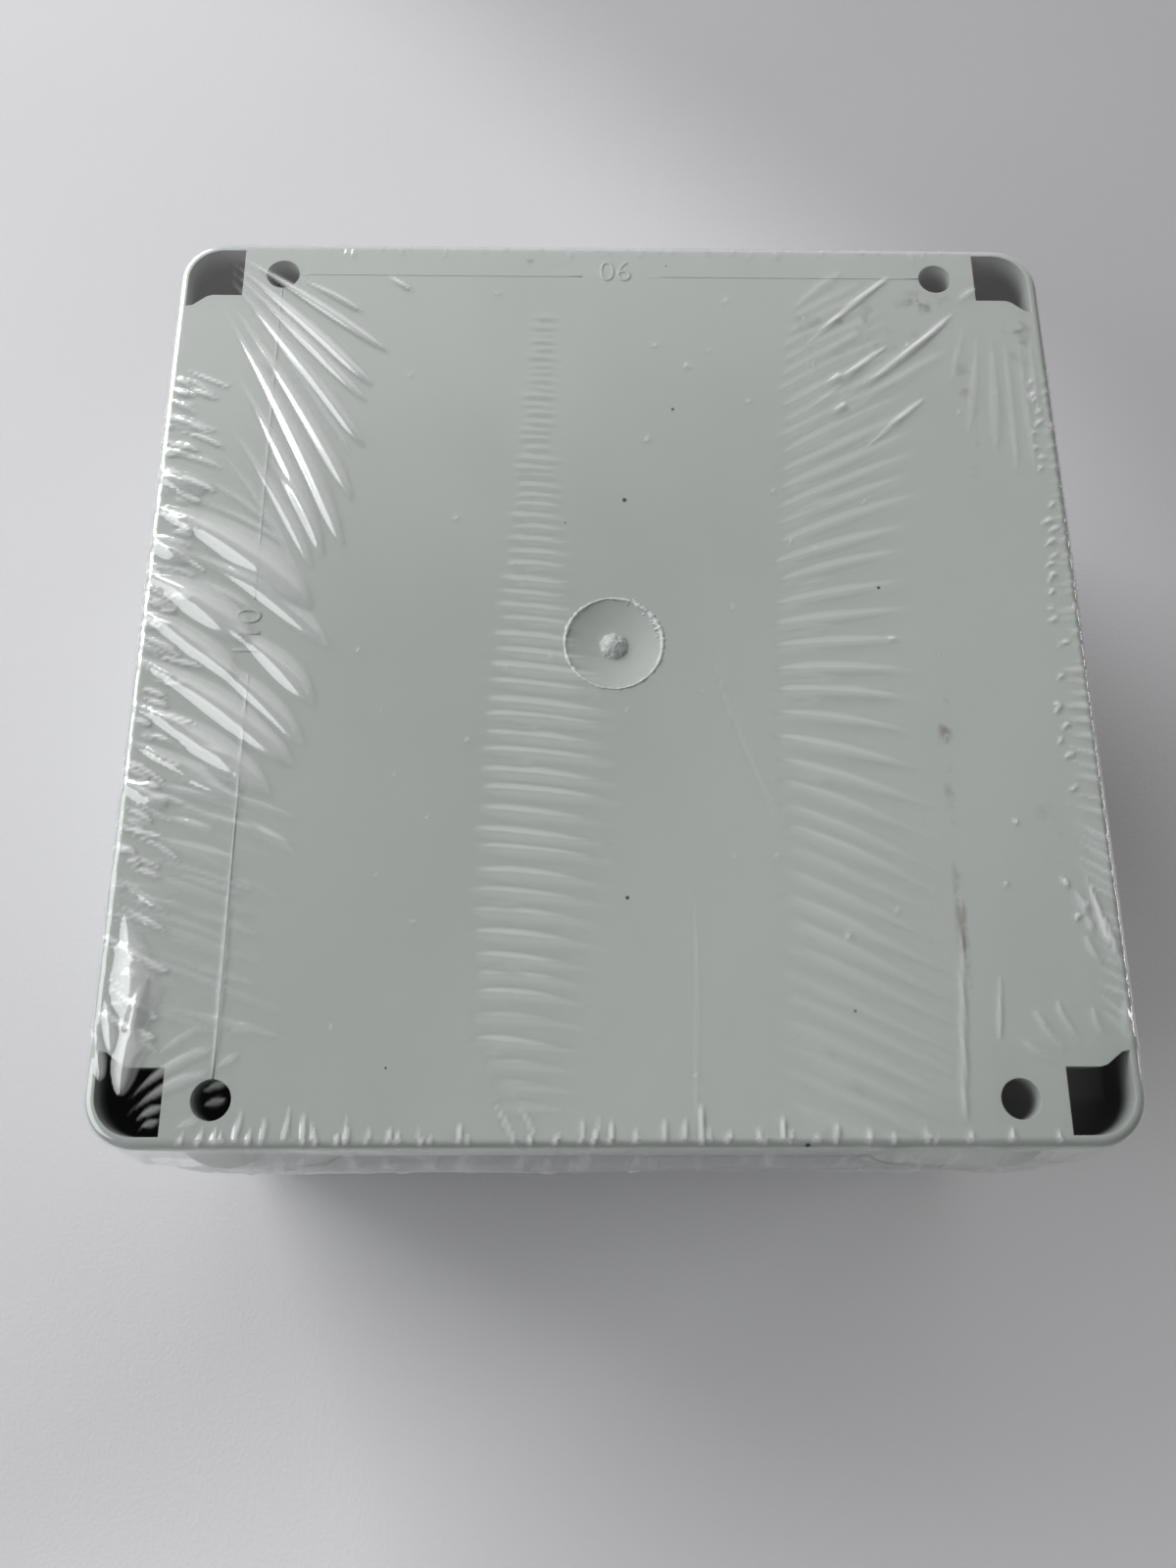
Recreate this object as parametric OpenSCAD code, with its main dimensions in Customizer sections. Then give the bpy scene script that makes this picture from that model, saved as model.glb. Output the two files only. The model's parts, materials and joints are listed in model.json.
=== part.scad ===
// Square moulded junction box, lying on its lid with its mounting face up.
// Z = 0 is the lid's outer face, and the mounting face is at the top.

/* [Box] */
// Width of the mounting face, along X
box_w = 118.5; // [118:0.5:160]
// Length of the mounting face, along Y
box_l = 120.5; // [118:0.5:160]
// Height from the lid's face to the mounting face
box_h = 70; // [68:0.5:110]
// Radius of the four upright corners
corner_r = 6; // [4:0.25:9]
// Rounding of the edge around the mounting face
edge_r = 1.2; // [0.6:0.1:1.8]
// Thickness of the side walls
wall = 2.6; // [2.2:0.1:3]
// Thickness of the back wall
back_t = 2.6; // [2:0.1:4]
// How far each wall leans out from the mounting face to the rim
wall_lean = 0.8; // [0.2:0.1:1.2]

/* [Lid] */
// Height of the lid
lid_h = 14; // [14:0.5:18]
// Thickness of the lid's face
lid_t = 2.6; // [2:0.1:3]
// How far the lid stands out past the rim of the box
lid_lip = 0.35; // [0.1:0.05:0.6]
// Rounding of the edge around the lid's face
lid_edge_r = 1.5; // [0.8:0.1:2]

/* [Wall fixings] */
// Distance between the fixing holes, along X
fixing_x = 90; // [76:1:90]
// Distance between the fixing holes, along Y
fixing_y = 110; // [96:1:112]
// Diameter of the fixing holes
fixing_d = 4.5; // [3.5:0.1:5.5]
// Depth of the fixing hole, from the mounting face to the screw well
fixing_web = 4.6; // [3:0.1:7]
// Diameter of the well that takes the screw head
well_d = 8.4; // [7.5:0.1:8.8]
// Radius of the bulge in the outer wall around the well
bulge_r = 7.3; // [6.8:0.1:8]

/* [Corner pockets] */
// Width of a corner pocket, along X
pocket_w = 7.5; // [5:0.1:7.6]
// Length of a corner pocket, along Y
pocket_l = 7.4; // [5:0.1:8.5]
// Thin wall outside a corner pocket
pocket_wall = 1.35; // [1:0.05:2]
// Depth of a corner pocket
pocket_depth = 34; // [10:1:35]

/* [Gate] */
// Diameter of the dish in the middle of the mounting face
gate_d = 12.2; // [8:0.1:18]
// Depth of the dish at its middle
gate_depth = 1; // [0.5:0.05:1.3]
// Diameter of the round moulding stub in the dish
stub_d = 3.8; // [2:0.1:6]

/* [Seal] */
// Width of the gasket
seal_w = 2.1; // [1.6:0.1:2.2]
// Height of the gasket
seal_h = 1.6; // [1:0.1:2]
// Width of the tongue that presses the gasket
tongue_w = 1.2; // [0.8:0.1:1.4]
// Height of the tongue
tongue_h = 1; // [0.6:0.1:1.5]

/* [Lid screws] */
// Diameter of the screw heads
head_d = 7.2; // [6:0.1:7.6]
// Height of the screw heads
head_h = 2.4; // [1.6:0.1:2.6]
// Diameter over the thread
thread_d = 4; // [3.5:0.1:4.4]
// Diameter of the plain neck
neck_d = 3; // [2.4:0.1:3]
// Pitch of the thread
thread_pitch = 1.4; // [1:0.1:1.6]
// How far a screw backs out of the box
screw_travel = 5.6; // [4:0.1:5.6]
// Thickness of the sealing washer under the head
washer_t = 1; // [0.6:0.1:1.2]
// Thickness of the washer that keeps the screw in the lid
retainer_t = 1.2; // [0.8:0.1:1.4]

/* [Terminals] */
// Distance between terminal poles
pole_pitch = 12; // [10:0.5:15]
// Number of terminal poles
poles = 3; // [2:1:4]
// Length of the terminal block, along the wires
block_l = 20; // [17:0.5:26]
// Height of the terminal block
block_h = 13; // [12:0.5:16]
// Outer diameter of the brass tubes
tube_d = 5.8; // [5.6:0.1:6.4]
// Diameter of the wire hole in the tubes
wire_d = 4; // [3:0.1:4.2]
// Diameter of the clamping screws
clamp_d = 3; // [2.5:0.1:3.2]

/* [Wrap] */
// Gap between the wrap and the lid's outline
wrap_gap = 0.4; // [0.3:0.05:1]
// Thickness of the wrap's band
wrap_t = 0.5; // [0.3:0.05:1]

/* [Hidden] */
$fn = 64;
eps = 0.01;
through = 1; // how far a cut runs past a face

// The rim, where the box meets the lid
body_h = box_h - lid_h;
lean = wall_lean / body_h;
rim_w = box_w + 2 * wall_lean;
rim_l = box_l + 2 * wall_lean;
lid_w = rim_w + 2 * lid_lip;
lid_l = rim_l + 2 * lid_lip;
lid_corner_r = corner_r + wall_lean + lid_lip;

// The well line: fixing holes, their bosses and the seal that runs inboard of them
well_r = well_d / 2;
seal_in = 1.85; // seal's centre line, inside the rim
seal_x = rim_w / 2 - seal_in;
seal_y = rim_l / 2 - seal_in;
boss_wall = 2.4; // plastic between a well and the gasket's groove
notch_x = fixing_x / 2 - well_r - boss_wall - seal_w / 2;
notch_y = fixing_y / 2 - well_r - boss_wall - seal_w / 2;
ledge = 2.4; // seal's centre line to the edge of the wiring space
groove_d = seal_h + tongue_h;

// The corner pockets
pocket_x = box_w / 2 - pocket_wall;
pocket_y = box_l / 2 - pocket_wall;
flare = 1.8; // how far a pocket runs on along the side wall
flare_w = 3.5;

// The gate's dish is a shallow part of a large sphere
dish_r = (gate_d * gate_d / 4 + gate_depth * gate_depth) / (2 * gate_depth);
stub_low = 0.1; // top of the stub, below the mounting face

// The lid screws stand in the corners, outboard of the seal
screw_in = 5.7; // screw's axis, inside the rim
screw_x = rim_w / 2 - screw_in;
screw_y = rim_l / 2 - screw_in;
head_clear = 0.6; // around a screw's head
sink_r = head_d / 2 + head_clear;
retainer_r = sink_r - 0.3;
web_top = lid_h - retainer_t - 0.8;
web_t = 2.4;
seat_z = web_top - web_t;
head_z = seat_z - washer_t;
neck_top = web_top + retainer_t + screw_travel + 0.2;
thread_turns = 8;
screw_top = neck_top + thread_turns * thread_pitch + 0.8;
grip = screw_travel - 0.2; // length of thread that holds in the pilot hole
pilot_fit = 0.06; // radial play of a thread in its hole
neck_fit = 0.08;
pilot_end = screw_top + 0.8;

// The terminal block hangs from two posts on the back wall
post_h = 5.4;
block_top = box_h - back_t - post_h;
block_w = poles * pole_pitch + 2;
ear_w = 9;
ear_t = 4;
ear_x = block_w / 2 + ear_w / 2 - 0.5;
tube_z = block_top - 4.6;
tube_l = block_l - 3;
clamp_y = tube_l / 2 - 3.5;
clamp_len = 6;
clamp_tip = tube_z - wire_d / 2 + 0.6;
post_r = 3.6;
block_screw_d = 2.9;

module each_corner() {
  for (i = [0, 1], j = [0, 1]) mirror([i, 0, 0]) mirror([0, j, 0]) children();
}

// Moves a child to corner k, counted 1 to 4 from the -X -Y corner
module at_corner(k, x, y) {
  translate([(k % 2 == 1 ? -1 : 1) * x, (k <= 2 ? -1 : 1) * y, 0]) children();
}

// Outline of a wall: straight to u = r at the top, leaning out below, with a rounded top edge
function wall_profile(r, h, edge, slope) = concat(
  [[0, 0], [r + slope * h, 0]],
  [for (a = [0:10:90]) [r - edge + edge * cos(a), h - edge + edge * sin(a)]],
  [[0, h]]);

// A block of w by l at its top face, with upright corners of radius r and a rounded top edge
module moulded_block(w, l, h, r, edge, slope) {
  profile = wall_profile(r, h, edge, slope);
  translate([r - w / 2, r - l / 2, 0]) cube([w - 2 * r, l - 2 * r, h]);
  for (s = [0, 1]) mirror([s, 0, 0])
    translate([w / 2 - r, l / 2 - r, 0]) rotate([90, 0, 0]) linear_extrude(l - 2 * r) polygon(profile);
  for (s = [0, 1]) mirror([0, s, 0])
    translate([r - w / 2, l / 2 - r, 0]) rotate([90, 0, 90]) linear_extrude(w - 2 * r) polygon(profile);
  each_corner() translate([w / 2 - r, l / 2 - r, 0]) rotate_extrude(angle = 90) polygon(profile);
}

// The cross-shaped outline that runs inboard of the corners, grown by g
module cross_prism(g, h) {
  translate([-seal_x - g, -notch_y - g, 0]) cube([2 * (seal_x + g), 2 * (notch_y + g), h]);
  translate([-notch_x - g, -seal_y - g, 0]) cube([2 * (notch_x + g), 2 * (seal_y + g), h]);
}

module cross_ring(w, h) {
  difference() {
    cross_prism(w / 2, h);
    translate([0, 0, -through]) cross_prism(-w / 2, h + 2 * through);
  }
}

// A bulge around a fixing well, closing into the wall at its top
module bulge(r, h) {
  fade = 5;
  cylinder(r = r, h = h - fade);
  translate([0, 0, h - fade]) cylinder(r1 = r, r2 = r - 2.4, h = fade);
}

module pocket_cut() {
  r = corner_r - pocket_wall;
  floor_z = box_h - pocket_depth;
  translate([0, 0, floor_z]) {
    difference() {
      translate([pocket_x - pocket_w, pocket_y - pocket_l, 0]) cube([pocket_w, pocket_l, pocket_depth + through]);
      translate([pocket_x - r, pocket_y - r, -through]) difference() {
        cube([2 * r, 2 * r, pocket_depth + 3 * through]);
        cylinder(r = r, h = pocket_depth + 3 * through);
      }
    }
    linear_extrude(pocket_depth + through) polygon([
      [pocket_x, pocket_y - pocket_l + 1], [pocket_x - flare_w, pocket_y - pocket_l + 1],
      [pocket_x - flare_w, pocket_y - pocket_l], [pocket_x - flare_w + 0.8, pocket_y - pocket_l - 0.25],
      [pocket_x - 0.9, pocket_y - pocket_l - flare + 0.15], [pocket_x, pocket_y - pocket_l - flare]]);
  }
}

module wiring_space() {
  block_x = notch_x - seal_w / 2 - 0.6;
  block_y = notch_y - seal_w / 2 - 0.6;
  difference() {
    translate([0, 0, lid_h - through])
      moulded_block(box_w - 2 * wall, box_l - 2 * wall, body_h - back_t + through, corner_r - wall, edge_r, lean);
    each_corner() translate([block_x, block_y, 0]) cube([box_w, box_l, box_h]);
  }
}

module back_box() {
  color([0.74, 0.76, 0.74]) difference() {
    union() {
      difference() {
        union() {
          translate([0, 0, lid_h]) moulded_block(box_w, box_l, body_h, corner_r, edge_r, lean);
          each_corner() translate([fixing_x / 2, fixing_y / 2, lid_h]) bulge(bulge_r, body_h - 3);
        }
        wiring_space();
      }
      translate([0, 0, lid_h - tongue_h]) cross_ring(tongue_w, tongue_h + eps);
      for (s = [-1, 1]) translate([s * ear_x, 0, block_top]) cylinder(r = post_r, h = post_h + 1);
    }
    each_corner() {
      translate([fixing_x / 2, fixing_y / 2, 0]) {
        cylinder(d = fixing_d, h = box_h + through);
        cylinder(r = well_r, h = box_h - fixing_web);
      }
      translate([screw_x, screw_y, 0]) {
        cylinder(d = thread_d + 0.6, h = screw_top - grip);
        cylinder(r = thread_d / 2 + pilot_fit, h = pilot_end);
      }
      pocket_cut();
    }
    for (s = [-1, 1]) translate([s * ear_x, 0, block_top - through])
      cylinder(r = block_screw_d / 2 + pilot_fit, h = post_h + through);
    difference() {
      translate([0, 0, box_h - gate_depth + dish_r]) sphere(r = dish_r);
      translate([0, 0, box_h - stub_low - stub_d / 2]) sphere(d = stub_d);
    }
  }
}

module lid() {
  color([0.75, 0.77, 0.75]) difference() {
    union() {
      translate([0, 0, lid_h]) mirror([0, 0, 1])
        moulded_block(lid_w, lid_l, lid_h, lid_corner_r, lid_edge_r, 0);
      each_corner() translate([fixing_x / 2, fixing_y / 2, lid_h]) mirror([0, 0, 1])
        bulge(bulge_r + lid_lip, lid_h - lid_edge_r);
    }
    translate([0, 0, lid_t]) cross_prism(-ledge, lid_h);
    translate([0, 0, lid_h - groove_d]) cross_ring(seal_w, groove_d + through);
    each_corner() translate([screw_x, screw_y, 0]) {
      translate([0, 0, -through]) cylinder(r = sink_r, h = seat_z + through);
      cylinder(d = thread_d + 0.4, h = lid_h + through);
      translate([0, 0, web_top]) cylinder(r = retainer_r + 0.1, h = lid_h);
    }
  }
}

module lid_gasket() {
  color([0.12, 0.12, 0.12]) translate([0, 0, lid_h - groove_d]) cross_ring(seal_w - 0.1, seal_h);
}

// One thread ridge, a pair of cones back to back
module ridge(r, pitch) {
  depth = 0.36;
  half = pitch * 0.3;
  translate([0, 0, pitch / 2 - half]) cylinder(r1 = r - depth, r2 = r, h = half);
  translate([0, 0, pitch / 2]) cylinder(r1 = r, r2 = r - depth, h = half);
}

module lid_screw(k) {
  slot_w = 1.1;
  slot_d = 1.3;
  chamfer = 0.5;
  core_r = thread_d / 2 - 0.35;
  color([0.62, 0.62, 0.6]) at_corner(k, screw_x, screw_y) {
    difference() {
      translate([0, 0, head_z]) mirror([0, 0, 1]) {
        cylinder(d = head_d, h = head_h - chamfer);
        translate([0, 0, head_h - chamfer]) cylinder(d1 = head_d, d2 = head_d - 2 * chamfer, h = chamfer);
      }
      for (a = [0, 90]) rotate([0, 0, a])
        translate([-head_d / 2 + 1, -slot_w / 2, head_z - head_h - through])
          cube([head_d - 2, slot_w, slot_d + through]);
    }
    translate([0, 0, head_z - eps]) cylinder(d = neck_d, h = neck_top - head_z + 2 * eps);
    translate([0, 0, neck_top]) cylinder(r = core_r, h = thread_turns * thread_pitch);
    for (i = [0:thread_turns - 1]) translate([0, 0, neck_top + i * thread_pitch])
      ridge(thread_d / 2, thread_pitch);
    translate([0, 0, neck_top + thread_turns * thread_pitch]) cylinder(r1 = core_r, r2 = core_r - 0.7, h = 0.8);
  }
}

module washer(r_out, r_in, t) {
  difference() {
    cylinder(r = r_out, h = t);
    translate([0, 0, -through]) cylinder(r = r_in, h = t + 2 * through);
  }
}

module screw_washer(k) {
  color([0.15, 0.15, 0.15]) at_corner(k, screw_x, screw_y) translate([0, 0, head_z])
    washer(head_d / 2 - 0.1, neck_d / 2 + neck_fit, washer_t);
}

module screw_retainer(k) {
  color([0.9, 0.9, 0.86]) at_corner(k, screw_x, screw_y) translate([0, 0, web_top])
    washer(retainer_r, neck_d / 2 + neck_fit, retainer_t);
}

function pole_x(i) = (i - (poles - 1) / 2) * pole_pitch;

module terminal_block() {
  fit = 0.05; // around a tube
  rib = 1.2;
  color([0.93, 0.93, 0.9]) difference() {
    union() {
      translate([-block_w / 2, -block_l / 2, block_top - block_h]) cube([block_w, block_l, block_h]);
      translate([-ear_x - ear_w / 2, -ear_w / 2, block_top - ear_t]) cube([2 * ear_x + ear_w, ear_w, ear_t]);
    }
    for (i = [0:poles - 1]) translate([pole_x(i), 0, 0]) {
      translate([0, block_l, tube_z]) rotate([90, 0, 0]) cylinder(r = tube_d / 2 + fit, h = 2 * block_l);
      for (s = [-1, 1]) translate([0, s * clamp_y, block_top - block_h - through])
        cylinder(d = clamp_d + 1, h = tube_z - block_top + block_h + through);
    }
    for (i = [0:poles - 2]) translate([pole_x(i) + pole_pitch / 2 - rib / 2, -block_l, block_top - block_h - through])
      cube([rib, 2 * block_l, 4 + through]);
    for (s = [-1, 1]) translate([s * ear_x, 0, block_top - ear_t - through])
      cylinder(d = block_screw_d + 0.4, h = ear_t + 2 * through);
  }
}

module terminal_tubes() {
  color([0.8, 0.65, 0.35]) for (i = [0:poles - 1]) translate([pole_x(i), 0, tube_z]) difference() {
    translate([0, tube_l / 2, 0]) rotate([90, 0, 0]) cylinder(d = tube_d, h = tube_l);
    translate([0, tube_l, 0]) rotate([90, 0, 0]) cylinder(d = wire_d, h = 2 * tube_l);
    for (s = [-1, 1]) translate([0, s * clamp_y, -tube_d]) cylinder(r = clamp_d / 2 + pilot_fit, h = tube_d);
  }
}

// A slotted screw whose head end faces down
module slotted_pin(d, h, slot) {
  difference() {
    cylinder(d = d, h = h);
    translate([-d, -slot / 2, -through]) cube([2 * d, slot, slot + through]);
  }
}

module clamp_screw(k) {
  pole = floor((k - 1) / 2);
  side = k % 2 == 1 ? -1 : 1;
  color([0.7, 0.7, 0.68]) translate([pole_x(pole), side * clamp_y, clamp_tip - clamp_len])
    slotted_pin(clamp_d, clamp_len, 0.7);
}

module block_screws() {
  cap_h = 1.8;
  color([0.7, 0.7, 0.68]) for (s = [-1, 1]) translate([s * ear_x, 0, block_top - ear_t]) {
    translate([0, 0, -cap_h]) slotted_pin(5.4, cap_h, 0.9);
    translate([0, 0, -eps]) cylinder(d = block_screw_d, h = ear_t + post_h - 1);
  }
}

// Outline of the lid and its bulges, grown by g
module wrap_prism(g, h) {
  r = lid_corner_r + g;
  w = lid_w + 2 * g;
  l = lid_l + 2 * g;
  translate([r - w / 2, -l / 2, 0]) cube([w - 2 * r, l, h]);
  translate([-w / 2, r - l / 2, 0]) cube([w, l - 2 * r, h]);
  each_corner() {
    translate([w / 2 - r, l / 2 - r, 0]) cylinder(r = r, h = h);
    translate([fixing_x / 2, fixing_y / 2, 0]) cylinder(r = bulge_r + lid_lip + g, h = h);
  }
}

module shrink_wrap() {
  foot = 2;
  drop = 1.4; // below the mounting face
  h = box_h - foot - drop;
  color([0.9, 0.93, 0.95, 0.3]) translate([0, 0, foot]) difference() {
    wrap_prism(wrap_gap + wrap_t, h);
    translate([0, 0, -through]) wrap_prism(wrap_gap, h + 2 * through);
  }
}

back_box();
lid();
lid_gasket();
lid_screw(1);  // lid_screw_1
lid_screw(2);  // lid_screw_2
lid_screw(3);  // lid_screw_3
lid_screw(4);  // lid_screw_4
screw_washer(1);  // screw_washer_1
screw_washer(2);  // screw_washer_2
screw_washer(3);  // screw_washer_3
screw_washer(4);  // screw_washer_4
screw_retainer(1);  // screw_retainer_1
screw_retainer(2);  // screw_retainer_2
screw_retainer(3);  // screw_retainer_3
screw_retainer(4);  // screw_retainer_4
terminal_block();
terminal_tubes();
block_screws();
clamp_screw(1);  // clamp_screw_1
clamp_screw(2);  // clamp_screw_2
clamp_screw(3);  // clamp_screw_3
clamp_screw(4);  // clamp_screw_4
clamp_screw(5);  // clamp_screw_5
clamp_screw(6);  // clamp_screw_6
shrink_wrap();
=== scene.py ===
import json
import math
import random

import bmesh
import bpy
import numpy as np
from mathutils import Matrix, Vector, noise


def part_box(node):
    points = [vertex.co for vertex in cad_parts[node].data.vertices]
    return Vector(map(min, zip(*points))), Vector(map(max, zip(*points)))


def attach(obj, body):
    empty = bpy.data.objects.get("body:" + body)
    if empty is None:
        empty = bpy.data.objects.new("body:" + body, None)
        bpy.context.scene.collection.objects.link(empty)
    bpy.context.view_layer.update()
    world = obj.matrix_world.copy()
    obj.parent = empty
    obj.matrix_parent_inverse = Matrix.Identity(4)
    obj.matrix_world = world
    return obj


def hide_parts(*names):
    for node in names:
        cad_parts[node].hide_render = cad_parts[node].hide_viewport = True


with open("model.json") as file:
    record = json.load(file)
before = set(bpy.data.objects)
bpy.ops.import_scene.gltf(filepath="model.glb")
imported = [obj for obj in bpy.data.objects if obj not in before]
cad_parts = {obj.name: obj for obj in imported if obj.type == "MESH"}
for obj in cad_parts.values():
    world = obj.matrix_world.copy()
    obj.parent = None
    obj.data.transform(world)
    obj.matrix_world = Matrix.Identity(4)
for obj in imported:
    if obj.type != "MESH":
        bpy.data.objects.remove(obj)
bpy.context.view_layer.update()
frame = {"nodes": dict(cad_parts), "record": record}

mm = 0.001
boxHigh = Vector(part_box("back_box")[1])
faceZ = boxHigh.z  # the mounting face
fixings = next(m for m in frame["record"]["mounts"] if m["name"] == "fixing_holes")["dims"]
holeX = fixings["spacing_x_mm"] / 2
holeY = fixings["spacing_y_mm"] / 2
faceHalfX = boxHigh.x / mm - 0.8  # mm; the walls lean out 0.8 mm below the face
faceHalfY = faceHalfX + 1


# ---- camera, light and floor

cameraSettings = {
    "place": (-5.2, -60.5, 136.5),  # mm from the middle of the mounting face
    "forward": (0.0137, 0.2949, -0.9554),
    "up": (-0.002, 0.9555, 0.2949),
    "lens": 27.34,
}


def makeCamera(s):
    data = bpy.data.cameras.new("camera")
    data.lens = s["lens"]
    data.sensor_width = 36
    data.clip_start = 0.005
    camera = bpy.data.objects.new("camera", data)
    bpy.context.scene.collection.objects.link(camera)
    back = -Vector(s["forward"]).normalized()
    right = Vector(s["up"]).cross(back).normalized()
    turn = Matrix((right, back.cross(right), back)).transposed().to_4x4()
    camera.matrix_world = Matrix.Translation(Vector(s["place"]) * mm + Vector((0, 0, faceZ))) @ turn
    bpy.context.scene.camera = camera


lightSettings = {
    "sideWindow": {
        "place": (-1.0, -0.08, 0.8), "size": (1.2, 0.75), "power": 6.5, "colour": (0.97, 0.99, 1.0),
    },
    "backWindow": {
        "place": (-0.7, 0.66, 0.6), "size": (0.8, 0.5), "power": 7.4, "colour": (0.98, 0.99, 1.0),
    },
    "lowLamp": {  # its mirror image draws the bright line along the right edge
        "place": (1.15, 0.25, 0.36), "size": (0.5, 0.16), "power": 1.3, "colour": (1.0, 0.99, 0.97),
    },
}
roomSettings = {
    "dim": (0.02, 0.02, 0.021),         # the sides of the room away from the light
    "bright": (0.35, 0.345, 0.34),      # a soft strip across the ceiling
    "towards": (0.86, -0.51, 0.0),      # the way that the strip's places are counted
    "strip": (-0.24, 0.04, 0.16, 0.38),  # where it starts, is full, starts to fade and is gone
    "beyond": 0.06,                     # share of the strip's light left beyond it
    "back": (-0.2, 0.98, 0.0),          # towards a brighter wall, which starts and is full at these places
    "wall": (0.4, 0.7),
    "glow": (0.74, 0.72, 0.725),
}


def makeLight(name, s):
    data = bpy.data.lights.new(name, "AREA")
    data.shape = "RECTANGLE"
    data.size, data.size_y = s["size"]
    data.energy = s["power"]
    data.color = s["colour"]
    lamp = bpy.data.objects.new(name, data)
    lamp.location = s["place"]
    aim = Vector((0, 0, faceZ)) - Vector(s["place"])
    lamp.rotation_euler = aim.to_track_quat("-Z", "Y").to_euler()
    bpy.context.scene.collection.objects.link(lamp)


def makeRoom(s):
    # soft surroundings with a bright strip and a bright wall, so glossy folds show
    world = bpy.data.worlds.new("room")
    world.use_nodes = True
    tree = world.node_tree
    place = addNode(tree, "ShaderNodeTexCoord").outputs["Generated"]
    along = addDot(tree, place, s["towards"])
    start, full, fall, gone = s["strip"]
    rise = addRamp(tree, along, start, full)
    sink = addRamp(tree, along, fall, gone, (1, s["beyond"]))
    colour = addMix(tree, addProduct(tree, rise, sink), s["dim"], s["bright"])
    lift = addRamp(tree, addDot(tree, place, s["back"]), *s["wall"])
    colour = addMix(tree, lift, colour, s["glow"])
    tree.links.new(colour, tree.nodes["Background"].inputs["Color"])
    bpy.context.scene.world = world
    bpy.context.scene.view_settings.view_transform = "Standard"


# ---- small helpers

def newMaterial(name):
    m = bpy.data.materials.new(name)
    m.use_nodes = True
    shader = m.node_tree.nodes["Principled BSDF"]
    return m, m.node_tree, shader


def addNode(tree, kind, inputs=None, **values):
    node = tree.nodes.new(kind)
    for key, value in values.items():
        setattr(node, key, value)
    for key, value in (inputs or {}).items():
        node.inputs[key].default_value = value
    return node


def addRamp(tree, value, low, high, ends=(0, 1)):
    # a soft change from the first end, at low, to the second, at high
    ramp = addNode(tree, "ShaderNodeMapRange", {
        "From Min": low, "From Max": high, "To Min": ends[0], "To Max": ends[1],
    }, interpolation_type="SMOOTHSTEP")
    tree.links.new(value, ramp.inputs["Value"])
    return ramp.outputs["Result"]


def addProduct(tree, a, b):
    product = addNode(tree, "ShaderNodeMath", operation="MULTIPLY")
    tree.links.new(a, product.inputs[0])
    tree.links.new(b, product.inputs[1])
    return product.outputs[0]


def addDot(tree, place, way):
    # how far the place is along the way
    along = addNode(tree, "ShaderNodeVectorMath", {1: way}, operation="DOT_PRODUCT")
    tree.links.new(place, along.inputs[0])
    return along.outputs["Value"]


def addMix(tree, share, low, high):
    # a colour between low and high, which are colours or sockets
    mix = addNode(tree, "ShaderNodeMix", data_type="RGBA")
    tree.links.new(share, mix.inputs["Factor"])
    for key, colour in (("A", low), ("B", high)):
        if isinstance(colour, tuple):
            mix.inputs[key].default_value = (*colour, 1)
        else:
            tree.links.new(colour, mix.inputs[key])
    return mix.outputs["Result"]


def finishMesh(bm, name, material, smooth=True):
    mesh = bpy.data.meshes.new(name)
    for f in bm.faces:
        f.smooth = smooth
    bm.to_mesh(mesh)
    bm.free()
    piece = bpy.data.objects.new(name, mesh)
    bpy.context.scene.collection.objects.link(piece)
    mesh.materials.append(material)
    return piece


makeCamera(cameraSettings)
for name, values in lightSettings.items():
    makeLight(name, values)
makeRoom(roomSettings)
print("camera and light")


# ---- materials

def makeGrainGroup():
    # fine spark-eroded texture of a mould, with slow cloudiness: a tint mask, roughness and a normal
    group = bpy.data.node_groups.new("mouldedGrain", "ShaderNodeTree")
    face = group.interface
    number, vector = "NodeSocketFloat", "NodeSocketVector"
    face.new_socket(name="Grain size", in_out="INPUT", socket_type=number).default_value = 2600
    face.new_socket(name="Grain height", in_out="INPUT", socket_type=number).default_value = 0.12
    face.new_socket(name="Roughness", in_out="INPUT", socket_type=number).default_value = 0.45
    face.new_socket(name="Normal", in_out="INPUT", socket_type=vector)
    for name, kind in (("Cloud", number), ("Roughness", number), ("Normal", vector)):
        face.new_socket(name=name, in_out="OUTPUT", socket_type=kind)
    goesIn = addNode(group, "NodeGroupInput")
    goesOut = addNode(group, "NodeGroupOutput")
    place = addNode(group, "ShaderNodeTexCoord")
    grain = addNode(group, "ShaderNodeTexNoise", {"Detail": 2})
    cloud = addNode(group, "ShaderNodeTexNoise", {"Scale": 38, "Detail": 4, "Distortion": 0.8})
    group.links.new(goesIn.outputs["Grain size"], grain.inputs["Scale"])
    for n in (grain, cloud):
        group.links.new(place.outputs["Object"], n.inputs["Vector"])
    bump = addNode(group, "ShaderNodeBump", {"Distance": 0.00006})
    group.links.new(goesIn.outputs["Grain height"], bump.inputs["Strength"])
    group.links.new(grain.outputs["Fac"], bump.inputs["Height"])
    group.links.new(goesIn.outputs["Normal"], bump.inputs["Normal"])
    rough = addNode(group, "ShaderNodeMath", {1: 0.16}, operation="MULTIPLY_ADD")
    group.links.new(cloud.outputs["Fac"], rough.inputs[0])
    group.links.new(goesIn.outputs["Roughness"], rough.inputs[2])
    group.links.new(cloud.outputs["Fac"], goesOut.inputs["Cloud"])
    group.links.new(rough.outputs[0], goesOut.inputs["Roughness"])
    group.links.new(bump.outputs["Normal"], goesOut.inputs["Normal"])
    return group


grainGroup = makeGrainGroup()


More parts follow.
